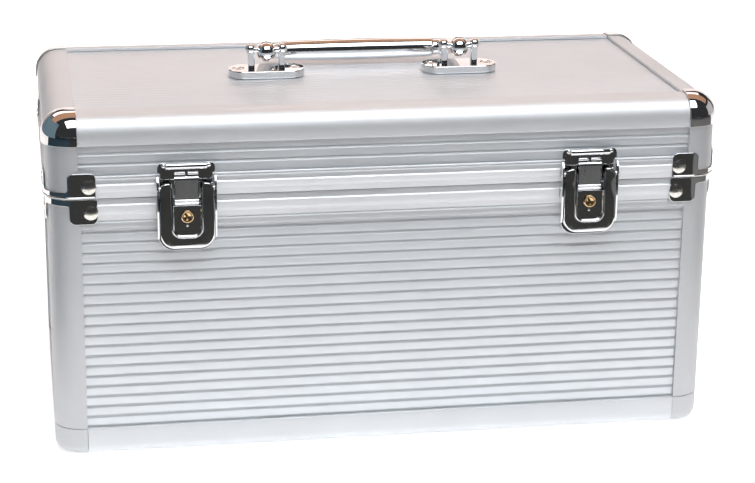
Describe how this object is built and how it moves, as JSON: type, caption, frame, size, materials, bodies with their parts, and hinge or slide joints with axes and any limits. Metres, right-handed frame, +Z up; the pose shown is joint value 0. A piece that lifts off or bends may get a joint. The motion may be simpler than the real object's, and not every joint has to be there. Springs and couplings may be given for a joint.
{
  "type": "aluminium hobby case with rising trays",
  "caption": "Rectangular aluminium-framed case with ribbed panels, chrome corners and latches, folding top handle, rear-hinged lid and inner compartment trays that rise as the lid opens.",
  "frame": {"origin": "middle of the footprint, on the surface the case stands on", "axes": "+Z up, +X along the case to the right seen from the front, -Y the front with the latches"},
  "size_m": [0.383, 0.2054, 0.2152],
  "materials": {
    "satin_frame": "satin anodised extrusion",
    "ribbed_sheet": "anodised sheet with fine horizontal grooves",
    "chrome": "polished chrome plate",
    "steel": "zinc-plated steel",
    "brass": "turned brass",
    "tray": "black moulded plastic with fine grain",
    "pad": "black flocked foam"
  },
  "bodies": {
    "case_body": {"corner_post_front_left": "satin_frame", "base_corner_front_left": "satin_frame", "corner_post_front_right": "satin_frame", "base_corner_front_right": "satin_frame", "corner_post_back_left": "satin_frame", "base_corner_back_left": "satin_frame", "corner_post_back_right": "satin_frame", "base_corner_back_right": "satin_frame", "base_rail_front": "satin_frame", "base_rail_back": "satin_frame", "base_rail_left": "satin_frame", "base_rail_right": "satin_frame", "body_front_panel": "ribbed_sheet", "body_back_panel": "ribbed_sheet", "body_left_panel": "ribbed_sheet", "body_right_panel": "ribbed_sheet", "base_panel": "ribbed_sheet", "body_rim": "satin_frame", "base_pad": "pad", "body_bracket_front_left": "chrome", "body_bracket_front_right": "chrome", "body_bracket_back_left": "chrome", "body_bracket_back_right": "chrome", "latch_base_left": "chrome", "latch_base_right": "chrome", "hinge_leaf_body": "steel", "hinge_pin": "steel"},
    "lid": {"lid_frame": "satin_frame", "lid_front_panel": "ribbed_sheet", "lid_back_panel": "ribbed_sheet", "lid_left_panel": "ribbed_sheet", "lid_right_panel": "ribbed_sheet", "lid_top_panel": "ribbed_sheet", "lid_rim": "satin_frame", "lid_cap_front_left": "chrome", "lid_cap_front_right": "chrome", "lid_cap_back_left": "chrome", "lid_cap_back_right": "chrome", "lid_bracket_front_left": "chrome", "lid_bracket_front_right": "chrome", "lid_bracket_back_left": "chrome", "lid_bracket_back_right": "chrome", "latch_keeper_left": "chrome", "latch_keeper_right": "chrome", "handle_bracket_left": "chrome", "handle_bracket_right": "chrome", "hinge_leaf_lid": "steel"},
    "handle": {"carry_handle": "chrome"},
    "lever_left": {"latch_lever_left": "chrome"},
    "lever_right": {"latch_lever_right": "chrome"},
    "lock_left": {"latch_lock_left": "brass"},
    "lock_right": {"latch_lock_right": "brass"},
    "front_bars": {"tray_bar_front_right": "steel", "tray_bar_front_left": "steel"},
    "rear_bars": {"tray_bar_rear_right": "steel", "tray_bar_rear_left": "steel"},
    "lower_tray": {"lower_tray": "tray"},
    "upper_tray": {"upper_tray": "tray"},
    "lift_links": {"lift_link_right": "steel", "lift_link_left": "steel"}
  },
  "joints": [
    {"name": "lid_hinge", "type": "hinge", "parent": "case_body", "child": "lid", "pos_m": [0, 0.0995, 0.1508], "axis": [-1, 0, 0], "range_deg": [0, 100]},
    {"name": "handle_swing", "type": "hinge", "parent": "lid", "child": "handle", "pos_m": [0, 0, 0.2105], "axis": [1, 0, 0], "range_deg": [0, 208]},
    {"name": "lever_left_lift", "type": "hinge", "parent": "case_body", "child": "lever_left", "pos_m": [-0.1136, -0.0993, 0.156], "axis": [-1, 0, 0], "range_deg": [0, 110]},
    {"name": "lock_left_turn", "type": "hinge", "parent": "lever_left", "child": "lock_left", "pos_m": [-0.1136, -0.1, 0.1405], "axis": [0, -1, 0], "range_deg": [0, 90]},
    {"name": "lever_right_lift", "type": "hinge", "parent": "case_body", "child": "lever_right", "pos_m": [0.1136, -0.0993, 0.156], "axis": [-1, 0, 0], "range_deg": [0, 110]},
    {"name": "lock_right_turn", "type": "hinge", "parent": "lever_right", "child": "lock_right", "pos_m": [0.1136, -0.1, 0.1405], "axis": [0, -1, 0], "range_deg": [0, 90]},
    {"name": "front_bars_swing", "type": "hinge", "parent": "case_body", "child": "front_bars", "pos_m": [0, 0.018, 0.095], "axis": [-1, 0, 0], "range_deg": [0, 70]},
    {"name": "rear_bars_swing", "type": "hinge", "parent": "case_body", "child": "rear_bars", "pos_m": [0, 0.074, 0.095], "axis": [-1, 0, 0], "range_deg": [0, 70]},
    {"name": "lower_tray_level", "type": "hinge", "parent": "front_bars", "child": "lower_tray", "pos_m": [0, -0.02836, 0.10742], "axis": [1, 0, 0], "range_deg": [0, 70]},
    {"name": "upper_tray_level", "type": "hinge", "parent": "front_bars", "child": "upper_tray", "pos_m": [0, -0.07473, 0.11985], "axis": [1, 0, 0], "range_deg": [0, 70]},
    {"name": "lift_links_swing", "type": "hinge", "parent": "lid", "child": "lift_links", "pos_m": [0, 0.0744, 0.1556], "axis": [1, 0, 0], "range_deg": [0, 93.6]}
  ],
  "couplings": [
    {"joint": "front_bars_swing", "follows": "lid_hinge", "ratio": 0.7},
    {"joint": "rear_bars_swing", "follows": "lid_hinge", "ratio": 0.7},
    {"joint": "lower_tray_level", "follows": "lid_hinge", "ratio": 0.7},
    {"joint": "upper_tray_level", "follows": "lid_hinge", "ratio": 0.7},
    {"joint": "lift_links_swing", "follows": "lid_hinge", "ratio": 0.936}
  ]
}
